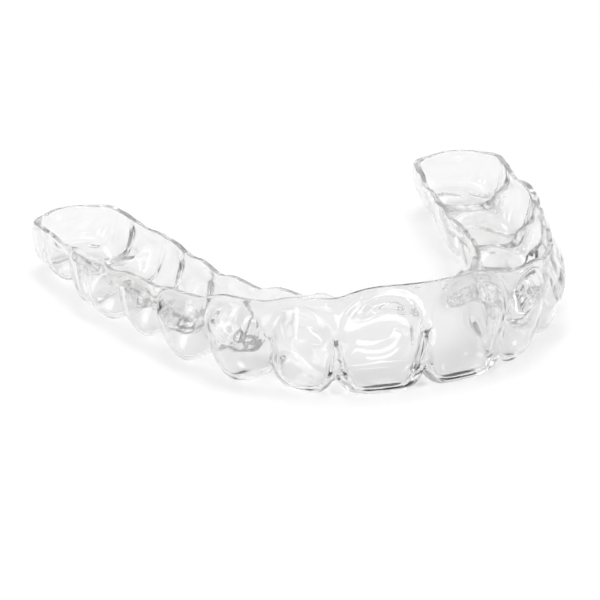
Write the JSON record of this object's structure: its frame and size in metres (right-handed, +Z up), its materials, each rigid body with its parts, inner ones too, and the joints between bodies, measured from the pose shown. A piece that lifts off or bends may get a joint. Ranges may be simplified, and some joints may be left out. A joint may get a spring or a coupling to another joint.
{
  "type": "clear aligner",
  "caption": "Clear one-piece shell for the upper teeth: a U-shaped arch of crown pockets with a wavy trimmed rim.",
  "frame": {"origin": "on the resting surface, below the middle of the shell's box", "axes": "+X across the mouth, -Y towards the front teeth, +Z up from the biting edges to the gum rim"},
  "size_m": [0.0572, 0.0488, 0.0127],
  "materials": {
    "clear_film": "clear, colourless and glossy"
  },
  "bodies": {
    "root": {"aligner_shell": "clear_film"}
  },
  "joints": []
}
